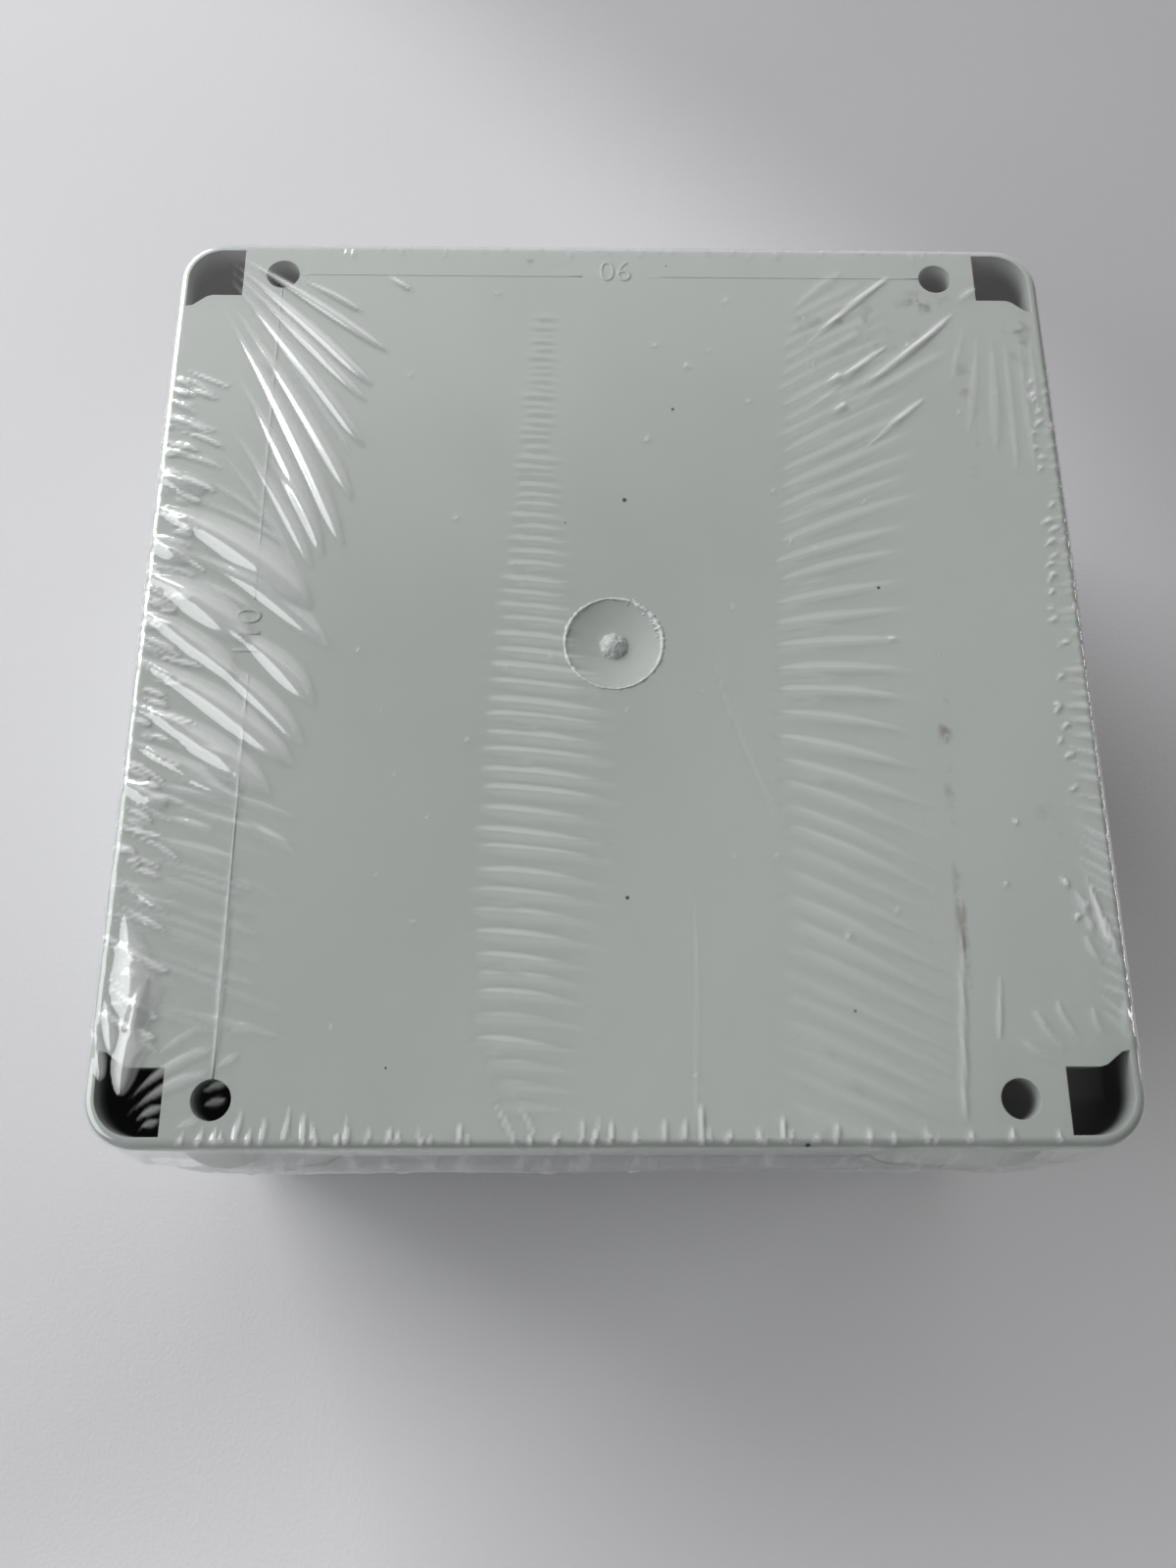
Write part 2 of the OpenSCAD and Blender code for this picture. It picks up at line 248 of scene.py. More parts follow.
def plasticMaterial(name, light, dark, rough, grainSize=2600, grainHeight=0.12, specks=0.0):
    m, tree, shader = newMaterial(name)
    corner = addNode(tree, "ShaderNodeBevel", {"Radius": 0.18 * mm}, samples=4)
    grain = addNode(tree, "ShaderNodeGroup", {
        "Grain size": grainSize, "Grain height": grainHeight, "Roughness": rough,
    }, node_tree=grainGroup)
    tree.links.new(corner.outputs["Normal"], grain.inputs["Normal"])
    colour = addMix(tree, grain.outputs["Cloud"], dark, light)
    if specks:
        colour = addSpecks(tree, colour, specks)
        colour = addScuffs(tree, colour)
        # painted shade in the corner pockets and fixing holes
        colour = addRecessShade(tree, colour)
    tree.links.new(colour, shader.inputs["Base Color"])
    tree.links.new(grain.outputs["Roughness"], shader.inputs["Roughness"])
    tree.links.new(grain.outputs["Normal"], shader.inputs["Normal"])
    return m


def addSpecks(tree, colour, amount):
    # sparse dark grains of dust, each a small dot in a few of the cells
    place = addNode(tree, "ShaderNodeTexCoord")
    cells = addNode(tree, "ShaderNodeTexVoronoi", {"Scale": 150})
    tree.links.new(place.outputs["Object"], cells.inputs["Vector"])
    split = addNode(tree, "ShaderNodeSeparateColor")
    tree.links.new(cells.outputs["Color"], split.inputs["Color"])
    bulk = addNode(tree, "ShaderNodeMath", {1: 1.6, 2: 0.45}, operation="MULTIPLY_ADD")
    tree.links.new(split.outputs["Green"], bulk.inputs[0])
    dot = addNode(tree, "ShaderNodeMapRange", {"From Min": 0.018, "From Max": 0.03, "To Min": 1, "To Max": 0})
    tree.links.new(addProduct(tree, cells.outputs["Distance"], bulk.outputs[0]), dot.inputs["Value"])
    few = addNode(tree, "ShaderNodeMath", {1: amount}, operation="LESS_THAN")
    tree.links.new(split.outputs["Red"], few.inputs[0])
    return addMix(tree, addProduct(tree, dot.outputs["Result"], few.outputs[0]), colour, (0.05, 0.045, 0.04))


scuffSpots = (  # middle and half sizes in mm, strength
    (40.4, -12, 1.1, 13, 0.5), (40.2, -36, 0.9, 12, 0.4), (34, 47, 11, 7, 0.28), (43.5, 51.5, 4, 2.6, 0.6),
    (47.6, 34, 1.4, 12, 0.35), (55.5, 47, 2.4, 7, 0.4), (-10, 57.5, 5, 1.4, 0.4), (52, -24, 2, 6, 0.2),
)


def addScuffs(tree, colour):
    # brownish rub marks, broken up by fine noise
    place = addNode(tree, "ShaderNodeTexCoord")
    dirt = addNode(tree, "ShaderNodeTexNoise", {"Scale": 420, "Detail": 6})
    tree.links.new(place.outputs["Object"], dirt.inputs["Vector"])
    broken = addRamp(tree, dirt.outputs["Fac"], 0.5, 0.68)
    for x, y, wide, tall, strength in scuffSpots:
        spot = addNode(tree, "ShaderNodeMapping", {
            "Location": (x * mm, y * mm, faceZ), "Scale": (wide * mm, tall * mm, 3 * mm),
        }, vector_type="TEXTURE")
        ball = addNode(tree, "ShaderNodeTexGradient", gradient_type="SPHERICAL")
        tree.links.new(place.outputs["Object"], spot.inputs["Vector"])
        tree.links.new(spot.outputs["Vector"], ball.inputs["Vector"])
        amount = addNode(tree, "ShaderNodeMath", {1: strength * 2}, operation="MULTIPLY", use_clamp=True)
        tree.links.new(addProduct(tree, ball.outputs["Fac"], broken), amount.inputs[0])
        colour = addMix(tree, amount.outputs[0], colour, (0.23, 0.2, 0.15))
    return colour


def addRecessShade(tree, colour):
    # painted shade: the corner pockets and fixing holes are darkened in colour, more so deeper down, for the
    # gloom inside them
    place = addNode(tree, "ShaderNodeTexCoord")
    fold = addNode(tree, "ShaderNodeVectorMath", operation="ABSOLUTE")
    tree.links.new(place.outputs["Object"], fold.inputs[0])
    split = addNode(tree, "ShaderNodeSeparateXYZ")
    tree.links.new(fold.outputs["Vector"], split.inputs[0])
    x, y, z = split.outputs["X"], split.outputs["Y"], split.outputs["Z"]
    reach = addNode(tree, "ShaderNodeMath", operation="ADD")
    tree.links.new(x, reach.inputs[0])
    tree.links.new(y, reach.inputs[1])
    corner = faceHalfX + faceHalfY
    limits = (  # a value, and in mm where the shade begins and where it is full
        (x, 42, 42.4), (x, faceHalfX - 0.9, faceHalfX - 1.1),
        (y, 49, 49.3), (y, faceHalfY - 0.9, faceHalfY - 1.1),
        (z, faceZ / mm + 0.4, faceZ / mm - 4.5),
        (reach.outputs[0], corner - 3.6, corner - 4.2),  # keeps it off the outside of the round corners
    )
    ramps = [addRamp(tree, value, begin * mm, full * mm) for value, begin, full in limits]
    mask = ramps[0]
    for ramp in ramps[1:]:
        mask = addProduct(tree, mask, ramp)
    # the near-black colour of the painted shade
    return addMix(tree, mask, colour, (0.006, 0.006, 0.007))


def metalMaterial(name, colour, rough):
    m, tree, shader = newMaterial(name)
    place = addNode(tree, "ShaderNodeTexCoord")
    stretch = addNode(tree, "ShaderNodeMapping", {"Scale": (1, 1, 6)})
    wear = addNode(tree, "ShaderNodeTexNoise", {"Scale": 900, "Detail": 5})
    tree.links.new(place.outputs["Object"], stretch.inputs["Vector"])
    tree.links.new(stretch.outputs["Vector"], wear.inputs["Vector"])
    spread = addNode(tree, "ShaderNodeMapRange", {"To Min": rough - 0.08, "To Max": rough + 0.14})
    tree.links.new(wear.outputs["Fac"], spread.inputs["Value"])
    tree.links.new(spread.outputs["Result"], shader.inputs["Roughness"])
    tint = addMix(tree, wear.outputs["Fac"], tuple(c * 0.8 for c in colour), colour)
    tree.links.new(tint, shader.inputs["Base Color"])
    shader.inputs["Metallic"].default_value = 1
    bump = addNode(tree, "ShaderNodeBump", {"Strength": 0.15, "Distance": 0.00005})
    tree.links.new(wear.outputs["Fac"], bump.inputs["Height"])
    tree.links.new(bump.outputs["Normal"], shader.inputs["Normal"])
    return m


def filmMaterial(headOn=0.12):
    # clear film: what it mirrors over what is behind it, and a little white where it is creased, which is
    # partly the haze of crumpled film and partly painted highlight on the creases
    m, tree, shader = newMaterial("clearFilm")
    shader.inputs["Base Color"].default_value = (0.97, 0.98, 0.98, 1)
    shader.inputs["Roughness"].default_value = 0.3
    shader.inputs["IOR"].default_value = 2.0
    clear = addNode(tree, "ShaderNodeBsdfTransparent", {"Color": (0.985, 0.99, 0.99, 1)})
    gloss = addNode(tree, "ShaderNodeBsdfGlossy", {"Roughness": 0.05, "Color": (1, 1, 1, 1)})
    facing = addNode(tree, "ShaderNodeLayerWeight")  # the same from both sides, so light gets back out
    power = addNode(tree, "ShaderNodeMath", {1: 4.5}, operation="POWER")
    tree.links.new(facing.outputs["Facing"], power.inputs[0])
    mirror = addNode(tree, "ShaderNodeMath", {1: 1 - headOn, 2: headOn}, operation="MULTIPLY_ADD")
    tree.links.new(power.outputs[0], mirror.inputs[0])
    crease = addNode(tree, "ShaderNodeAttribute", attribute_name="crease")
    # painted highlight, with haze: a white diffuse share mixed in by the crease attribute
    white = addNode(tree, "ShaderNodeMixShader")
    tree.links.new(crease.outputs["Fac"], white.inputs["Fac"])
    tree.links.new(clear.outputs[0], white.inputs[1])
    tree.links.new(shader.outputs[0], white.inputs[2])
    both = addNode(tree, "ShaderNodeMixShader")
    tree.links.new(mirror.outputs[0], both.inputs["Fac"])
    tree.links.new(white.outputs[0], both.inputs[1])
    tree.links.new(gloss.outputs[0], both.inputs[2])
    tree.links.new(both.outputs[0], tree.nodes["Material Output"].inputs["Surface"])
    return m


materials = {
    "box_plastic": plasticMaterial(
        "boxPlastic", (0.60, 0.635, 0.605), (0.565, 0.60, 0.57), 0.36, specks=0.34),
    "lid_plastic": plasticMaterial("lidPlastic", (0.61, 0.64, 0.61), (0.58, 0.61, 0.58), 0.36),
    "gasket_rubber": plasticMaterial(
        "gasketRubber", (0.03, 0.03, 0.032), (0.015, 0.015, 0.016), 0.6, 1400, 0.4),
    "washer_rubber": plasticMaterial(
        "washerRubber", (0.03, 0.03, 0.03), (0.018, 0.018, 0.018), 0.5, 1800, 0.3),
    "retainer_nylon": plasticMaterial("retainerNylon", (0.78, 0.78, 0.72), (0.7, 0.7, 0.64), 0.35),
    "terminal_nylon": plasticMaterial(
        "terminalNylon", (0.8, 0.8, 0.75), (0.74, 0.74, 0.69), 0.32, 2200, 0.1),
    "brass": metalMaterial("brass", (0.78, 0.56, 0.25), 0.26),
    "screw_steel": metalMaterial("screwSteel", (0.66, 0.66, 0.65), 0.28),
    "zinc_steel": metalMaterial("zincSteel", (0.68, 0.69, 0.72), 0.24),
    "clear_wrap": filmMaterial(),
}
for part in frame["record"]["subparts"]:
    cad = frame["nodes"][part["node"]]
    cad.data.materials.clear()
    cad.data.materials.append(materials[part["material_slot"]])
print("materials")


# ---- the shrink film, in two pieces: the skin over the face, and the skirt down the walls

filmSettings = {
    "inset": 1.1,         # mm from the face's edge to the line where the two pieces meet
    "corner": 4.8,        # mm, radius of that line at the corners
    "gap": 0.15,          # mm of air under the skin
    "across": 314,        # squares of the skin along X
    "along": 314,         # squares of the skin along Y
    # share of the squares and place along X: they are closer where creases are fine
    "stops": ((0, -58.15), (0.33, -28), (0.655, 18), (0.81, 40), (1, 58.15)),
    "sag": 0.05,          # mm of slow waviness
    "seed": 11,
}

# Creases, in mm from the middle of the face: from, to, bend, half width, steepness, whiteness (white haze of
# the crumpled film and painted highlight on the crease).
# First the fan out of one pocket, then the broad streaks, those round the lower corners and the fine ones.
pocketFan = (
    ((-52, 58.3), (-30, 42.4), 0.3, 0.95, 0.75, 0.85), ((-52.4, 57), (-31.8, 37), 0.4, 1.2, 0.7, 0.8),
    ((-52.6, 55.8), (-32.4, 34.4), 0.3, 1.0, 0.65, 0.7),
    ((-53, 54.8), (-32.4, 27.6), 0.6, 1.5, 0.58, 0.45),
    ((-53, 51.6), (-33.4, 19.6), 0.9, 1.4, 0.52, 0.45), ((-53.4, 50), (-34.4, 13), 1.1, 1.6, 0.5, 0.45),
    ((-50.6, 39.4), (-36.8, 11.6), 1.0, 1.4, 0.48, 0.4), ((-50.6, 31), (-38, 9.8), 0.8, 1.0, 0.46, 0.4),
    ((-42.8, 54.2), (-33.8, 48.8), 0.2, 0.6, 0.75, 0.75),
    ((-51.4, 27.4), (-39.6, 8.8), 0.7, 0.65, 0.44, 0.3),
    ((-46, 47.5), (-37.2, 40.6), 0.2, 0.5, 0.5, 0.25), ((-45.5, 44), (-34, 26.4), 0.3, 0.6, 0.5, 0.3),
    ((-49.4, 44), (-45, 38.4), 0.1, 0.55, 0.4, 0.2), ((-46.4, 28), (-37.2, 13), 0.5, 0.8, 0.44, 0.3),
    ((-31.4, 55.3), (-27.2, 52.2), 0.1, 0.5, 0.75, 0.8),
)
edgeStreaks = (
    ((-61, 19.4), (-38, 4.6), 1.9, 3.4, 0.42, 0.5), ((-55, 12.4), (-35.4, -0.8), 1.5, 2.0, 0.44, 0.34),
    ((-61, 10), (-45, 0), 0.9, 3.1, 0.4, 0.5), ((-48.5, 2.2), (-36.8, -8.2), 0.8, 2.1, 0.44, 0.36),
    ((-61, 5), (-46, -5.2), 0.7, 2.2, 0.4, 0.45), ((-52, -1), (-37.6, -13.6), 0.8, 1.9, 0.44, 0.34),
    ((-61, -1.4), (-38.6, -16.2), 1.2, 2.5, 0.42, 0.48),
    ((-61, -7.4), (-41, -19.8), 1.0, 2.5, 0.4, 0.45),
    ((-61, -12.3), (-44.5, -21.2), 0.7, 1.5, 0.4, 0.28),
    ((-61, -17.3), (-53.4, -21.4), 0.2, 1.6, 0.4, 0.34),
    ((-61, 23.6), (-52.6, 21), 0.2, 1.9, 0.42, 0.34), ((-61, 15), (-53.8, 10.8), 0.2, 1.8, 0.4, 0.34),
    ((-54.6, 20), (-41.5, 13.2), 0.6, 0.55, 0.4, 0.3), ((-54, 23.4), (-43, 15.2), 0.6, 0.5, 0.4, 0.3),
    ((-53, 8.8), (-45, 4), 0.3, 0.6, 0.4, 0.3), ((-45, -22.2), (-37.4, -27.4), 0.2, 0.8, 0.4, 0.2),
    ((-59, -24), (-44, -29.6), 0.5, 1.1, 0.3, 0.16), ((-58, -29), (-41.5, -34.6), 0.6, 1.0, 0.28, 0.14),
)
cornerStreaks = (
    ((-54.2, -55.3), (-45, -49.3), 0.9, 0.75, 0.42, 0.4),
    ((-53.9, -56.6), (-45.4, -52), 0.8, 0.75, 0.42, 0.4),
    ((-53.4, -57.6), (-50, -55.6), 0.3, 0.55, 0.42, 0.4),
    ((-52.8, -58.3), (-50.4, -57.2), 0.2, 0.5, 0.4, 0.35),
    ((-52.2, -51), (-46.6, -46.9), 0.3, 0.5, 0.36, 0.3),
    ((-45.2, -52.1), (-42.2, -50), 0.2, 0.6, 0.4, 0.35),
    ((-49.2, -58.4), (-46, -57), 0.1, 0.6, 0.4, 0.35),
    ((-46.6, -54.6), (-42.8, -52.8), 0.2, 0.5, 0.4, 0.25),
    ((-46.2, -55.9), (-43.2, -54.9), 0.2, 0.5, 0.4, 0.25),
    ((-44.3, -48.2), (-41.2, -46.8), 0.1, 0.6, 0.34, 0.25),
    ((-50.5, -49.5), (-44, -46), 0.2, 0.35, 0.3, 0.15),
    ((-56.8, -33.5), (-54, -47.5), 0.5, 3.2, 0.36, 0.5),
    ((-52.9, -40.5), (-54.9, -54.5), -0.4, 1.9, 0.4, 0.5),
    ((-58, -43), (-56.4, -50), 0.2, 1.0, 0.4, 0.45),
    ((-59.2, -45.5), (-57.2, -53), 0.2, 0.9, 0.4, 0.45),
    ((-51.2, -46.8), (-54, -51), -0.2, 0.8, 0.36, 0.3),
    ((51.2, -50.2), (47.4, -45.2), 0.3, 0.6, 0.36, 0.3), ((53, -49.6), (50, -44), 0.3, 0.5, 0.36, 0.3),
    ((50, -51.6), (45.6, -48.4), 0.2, 0.5, 0.36, 0.25),
    ((55.6, -49.4), (54, -44.6), 0.2, 0.5, 0.36, 0.25),
    ((57.6, -49), (58.4, -43.6), 0.2, 0.6, 0.36, 0.3), ((56.8, -41), (54.2, -36.4), 0.3, 0.6, 0.4, 0.4),
    ((53.2, -30.5), (55, -34.6), 0.2, 0.8, 0.4, 0.45),
    ((54.4, -33.6), (55.4, -36.4), 0.1, 0.6, 0.4, 0.45),
)
thinStreaks = (
    ((25.2, 42.8), (39, 55.6), 0.3, 0.5, 0.6, 1.0), ((29.6, 34.6), (46.8, 49.2), -0.6, 0.6, 0.6, 1.0),
    ((29.4, 37.4), (37.4, 43.8), 0.2, 0.45, 0.5, 0.8), ((32.6, 27.2), (42, 35.8), 0.2, 0.45, 0.5, 0.8),
    ((28.5, 37.6), (31, 39.6), 0, 0.45, 0.5, 0.8), ((28.6, 32.6), (31.4, 35), 0, 0.45, 0.5, 0.8),
    ((24, 48.5), (32, 56), 0.2, 0.9, 0.3, 0.12), ((27.5, 40.5), (36, 48.4), 0.2, 0.9, 0.3, 0.06),
    ((27, 32), (44, 46), 0.3, 0.9, 0.3, 0.06), ((26.4, 29.4), (45.5, 43), 0.4, 1.0, 0.3, 0.06),
    ((26.5, 34), (33, 39.6), 0.1, 0.4, 0.4, 0.3), ((47, 50.4), (50.6, 53.4), 0.1, 0.7, 0.4, 0.3),
)
pocketStreaks = (
    ((49.8, 47.6), (47, 30), 0.5, 0.9, 0.2, 0.16), ((51.6, 47.6), (50.4, 27), 0.4, 1.2, 0.2, 0.2),
    ((53.4, 47.6), (53, 24), 0.2, 0.8, 0.22, 0.24), ((55.2, 47), (55.4, 25), 0.1, 0.9, 0.22, 0.2),
    ((56.8, 46), (57, 33), 0, 0.6, 0.24, 0.24), ((48.4, 48.6), (45.4, 38), 0.2, 0.6, 0.2, 0.14),
)
lineStreaks = (
    ((-45, -22), (-45, -53), 0, 0.45, 0.3, 0.6), ((-45, 53), (-45, 5), 0, 0.4, 0.06, 0.3),
    ((-45, -2.6), (-45, -24), 0, 0.45, 0.06, 0.5), ((11.8, 1), (19.8, -23), -0.9, 0.6, 0.2, 0.14),
    ((40.6, -28), (38.2, -59), 0, 0.45, 0.35, 0.5), ((44, -40.4), (43.2, -48.6), 0, 0.4, 0.35, 0.5),
    ((9.6, -22), (8.6, -59), 0, 0.5, 0.14, 0.14),
)
centreBand = {
    "y": (48, 30, 21, 7, -6, -16, -27, -38, -49, -57),
    "left": (-10.4, -11.4, -12, -13.7, -15.3, -16.2, -16.6, -16.6, -15.5, -12.5),
    "right": (-6.6, -7, -7.2, -5.4, -1.4, -0.9, -1, -3.3, -4.4, -6),
    "step": (1.25, 1.3, 1.5, 1.9, 2.2, 2.4, 2.5, 2.5, 2.4, 2.3),
    "steep": (0.4, 0.42, 0.42, 0.44, 0.46, 0.46, 0.46, 0.46, 0.42, 0.34),
    "white": (0.02, 0.02, 0.03, 0.06, 0.1, 0.13, 0.15, 0.16, 0.16, 0.14),
}
rightBand = {
    "y": (48, 40, 26, 15, 5, -7, -20, -33, -45, -57),
    "left": (25, 23.5, 22.5, 21.5, 20.8, 20.4, 20, 19.6, 19, 19.5),
    "right": (34, 36, 39, 38.5, 37.5, 37, 37, 37, 37.5, 35),
    "rise": (0.62, 0.6, 0.55, 0.42, 0.2, -0.08, -0.46, -0.5, -0.5, -0.5),
    "step": (2.2, 2.3, 2.6, 2.7, 2.9, 2.9, 2.7, 2.8, 3.0, 3.0),
    "steep": (0.32, 0.38, 0.42, 0.44, 0.46, 0.46, 0.46, 0.44, 0.4, 0.3),
    "white": (0.01, 0.01, 0.01, 0.01, 0.03, 0.12, 0.16, 0.15, 0.14, 0.1),
}


def bandCreases(band, dice, fall=0.0):
    # rungs stacked down the face between two curved margins
    creases = []
    rows = np.array(band["y"][::-1], float)

    def at(key, y):
        return float(np.interp(y, rows, np.array(band[key][::-1], float)))

    y = band["y"][0]
    while y > band["y"][-1]:
        left, right, step = at("left", y), at("right", y), at("step", y)
        end = left + (right - left) * dice.uniform(1.08, 1.24)
        rise = (at("rise", y) if "rise" in band else 0) * (end - left)
        start = (left - 0.6 + dice.uniform(-0.5, 0.5), y + dice.uniform(-0.15, 0.15))
        steep = at("steep", y) * dice.uniform(0.8, 1.15)
        tip = (end, start[1] + rise - fall * (end - left))
        bend, wide = dice.uniform(-0.4, 0.1), step * dice.uniform(0.38, 0.5)
        creases.append((tip, start, bend, wide, steep, at("white", y)))
        if dice.random() < 0.3:  # a short fork beside it
            fork = (start[0] + 0.4, start[1] - step * 0.45)
            long = (right - left) * dice.uniform(0.3, 0.5)
            forkEnd = (fork[0] + long, fork[1] + (rise / (end - left) - fall) * long)
            creases.append((fork, forkEnd, 0.1, step * 0.25, steep, at("white", y)))
        y -= step * dice.uniform(0.9, 1.1)
    return creases


# Upright folds along the bottom edge, in mm: place along the edge, height, lean
bottomTicks = (
    (-48.4, 1.2, 0.8), (-46.2, 1.6, 0.6), (-44.6, 1.8, 0.5), (-43.6, 1.4, -0.2), (-42.3, 3.8, 0.9),
    (-40.8, 1.6, 0.4), (-39.2, 3.4, 0.4), (-36.8, 3.9, 0.5), (-34.6, 3.9, -0.3), (-33.2, 2.4, -0.8),
    (-31, 1.3, 0), (-29.9, 2.6, -0.1), (-27.6, 2.4, -0.1), (-25.2, 2, -0.2), (-24.3, 1.4, 0),
    (-21.7, 1.5, -0.4), (-17.4, 2.6, -0.4), (-9.8, 1.2, 0), (-7, 1.6, 0.1), (-4.1, 4, -0.3),
    (-2.9, 2.6, 0.8), (-0.9, 2.5, 0), (1.7, 2.2, -0.1), (4.9, 3.6, -0.2), (7.1, 3.4, -0.1),
    (9.2, 4.6, -0.4), (12.1, 1.8, -0.2), (15.4, 2.4, 0.2), (18.2, 3.2, -0.3), (21.8, 1.6, 0.1),
    (24, 2.8, -0.4), (27.6, 2.2, 0.2), (30.4, 1.5, 0), (34.2, 2.1, -0.3), (38.8, 1.4, 0.2),
    (43.5, 1.8, -0.2), (48.6, 1.3, 0.1),
)

# Bright lines by the right edge, in mm: from, to, half width
rightEdgeLines = (
    ((58.9, -2), (58.9, -53), 0.5), ((55.2, -29), (57, -38), 0.6), ((56.4, -33), (57.8, -39), 0.5),
    ((57.5, -45.5), (60, -50.5), 0.4), ((52, -29.5), (53.2, -31), 0.5), ((47.4, -22.4), (47.8, -23.4), 0.4),
)


def leftEdgeCreases(dice):
    creases = []
    for i in range(120):  # where the film turns over the edge
        y = 40 - 88 * (i + dice.random()) / 120
        size = dice.uniform(1.2, 6.5)
        x = dice.choice((-60.8, -59.4, -58.2, -57.4))
        end = (x + 1.4 + size, y - size * dice.uniform(0.2, 0.8))
        bend, wide = dice.uniform(-0.2, 0.5), dice.uniform(0.34, 0.6)
        steep, white = dice.uniform(0.3, 0.5), dice.choice((0.2, 0.5, 0.8, 1.0))
        creases.append(((x, y), end, bend, wide, steep, white))
    for i in range(48):  # faint lines on from them
        y = -12 - 34 * (i + dice.random()) / 48
        x = dice.uniform(-60, -50)
        size = dice.uniform(5, 17)
        end = (x + size, y - size * dice.uniform(0.22, 0.34))
        bend, wide = dice.uniform(0, 0.5), dice.uniform(0.4, 0.8)
        steep, white = dice.uniform(0.2, 0.42), dice.uniform(0, 0.3)
        creases.append(((x, y), end, bend, wide, steep, white))
    return creases


def rightEdgeCreases(dice):
    # ripples that run on over the edge, with curled bright ends
    creases = []
    y = 41.0
    while y > -46:
        inner = float(np.interp(y, (-46, -25, -13, 2, 25, 41), (54.4, 54, 54.6, 55, 56.2, 56.8)))
        rise = float(np.interp(y, (-46, -20, -10, 8, 41), (-0.75, -0.6, -0.15, 0.1, 0.5)))
        x = inner + dice.uniform(-0.6, 0.7)
        size = 61.4 - x
        wide = dice.uniform(0.45, 0.8)
        rise *= dice.uniform(0.5, 1.3)
        bend, steep, white = dice.uniform(-0.3, 0.4), dice.uniform(0.4, 0.65), dice.uniform(0.15, 0.4)
        creases.append(((x, y), (61.4, y + rise * size), bend, wide, steep, white))
        if dice.random() < (0.75 if y > -14 else 0.3):  # the curled end
            turn = dice.uniform(0.2, 1.2)
            long = dice.uniform(0.8, 2.2)
            end = (x + long * math.cos(turn), y + long * math.sin(turn))
            bend, wide, white = dice.uniform(0.1, 0.5), dice.uniform(0.3, 0.42), dice.uniform(0.8, 1)
            creases.append(((x - 0.3, y - 0.4), end, bend, wide, 0.8, white))
        if dice.random() < 0.4 and y > -8:  # and a fleck nearer the edge
            spot = dice.uniform(58, 60)
            end = (spot + dice.uniform(0.2, 1.2), y + dice.uniform(0.5, 1.8))
            creases.append(((spot, y - 0.6), end, 0.2, 0.4, 0.6, dice.uniform(0.5, 1)))
        y -= dice.uniform(0.9, 2.3)
    for start, end, wide in rightEdgeLines:
        creases.append((start, end, 0.1, wide, 0.5, 0.9))
    return creases


def bottomEdgeCreases(dice):
    creases = []
    for x, tall, lean in bottomTicks:
        tip = (x + lean, -59.4 + tall * 1.15)
        wide, white = dice.uniform(0.36, 0.48), dice.uniform(0.85, 1)
        creases.append((tip, (x, -60.1), 0.12, wide, 0.65, white))
        if dice.random() < 0.3:  # a smaller one beside it
            tip = (x + 0.7 - lean, -59.4 + tall * 0.7)
            creases.append((tip, (x + 0.7, -60.1), 0.1, 0.34, 0.5, 0.6))
    creases.append(((-14.4, -54.4), (-11, -60.6), 0.3, 0.5, 0.5, 0.5))
    creases.append(((-12, -54.4), (-9, -59.4), 0.3, 0.5, 0.5, 0.4))
    return creases


def topEdgeCreases(dice):
    creases = []
    for i in range(40):
        x = -48 + 98 * (i + dice.random()) / 40
        size = dice.uniform(0.8, 3.2)
        end = (x + dice.uniform(-1, 1), 60.2 - size)
        wide, steep, white = dice.uniform(0.35, 0.5), dice.uniform(0.2, 0.4), dice.uniform(0, 0.25)
        creases.append(((x, 61), end, 0.1, wide, steep, white))
    return creases


def caughtGrains(dice):
    # grains of dust caught under the film
    creases = []
    for i in range(46):
        x, y = dice.uniform(-36, 54), dice.uniform(-54, 54)
        turn = dice.uniform(0, math.pi)
        long = dice.uniform(0.5, 1.3)
        end = (x + long * math.cos(turn), y + long * math.sin(turn))
        creases.append(((x, y), end, 0, 0.45, 0.35, dice.uniform(0.1, 0.6)))
    return creases


def pressCreases(x, y, creases, peak=0.66):
    # height and whiteness of the film over flat points x, y: each crease is a tent that swells,
    # is fullest at the share peak of its length, and tapers; the whiteness is partly haze and partly painted
    # highlight
    high = np.zeros_like(x)
    white = np.zeros_like(x)
    grow = math.log(0.5) / math.log(peak)
    for start, end, bend, wide, steep, hazeAndHighlight in creases:
        ax, ay = start
        dx, dy = end[0] - ax, end[1] - ay
        size = math.hypot(dx, dy)
        dx, dy = dx / size, dy / size
        reach = wide + abs(bend) + 0.2
        near = ((x > min(ax, end[0]) - reach) & (x < max(ax, end[0]) + reach)
                & (y > min(ay, end[1]) - reach) & (y < max(ay, end[1]) + reach))
        if not near.any():
            continue
        px, py = x[near] - ax, y[near] - ay
        t = (px * dx + py * dy) / size
        inside = (t > 0) & (t < 1)
        t = np.clip(t, 0, 1)
        taper = 0.6 if size > 6 else 1.0  # short ones come to a sharper point
        swell = np.sin(math.pi * t ** grow) ** taper * inside
        aside = np.abs(px * -dy + py * dx - bend * 4 * t * (1 - t))
        u = np.clip(aside / (wide * swell + 1e-6), 0, 1)
        tent = 0.5 + 0.5 * np.cos(math.pi * u)
        high[near] += steep * wide * swell * tent * 0.64
        white[near] = np.maximum(white[near], hazeAndHighlight * tent ** 0.7 * np.minimum(swell * 1.5, 1))
    return high, white


def smooth(t):
    # 0 to 1 with a soft start and end
    t = np.clip(t, 0, 1)
    return t * t * (3 - 2 * t)


def wave(x, y, size, seed):
    # slow smooth waviness, about -1 to 1
    dice = random.Random(seed)
    total = np.zeros_like(x)
    for i in range(7):
        turn = dice.uniform(0, math.tau)
        pace = math.tau / (size * dice.uniform(0.7, 1.6))
        total += np.sin((x * math.cos(turn) + y * math.sin(turn)) * pace + dice.uniform(0, math.tau))
    return total / 4


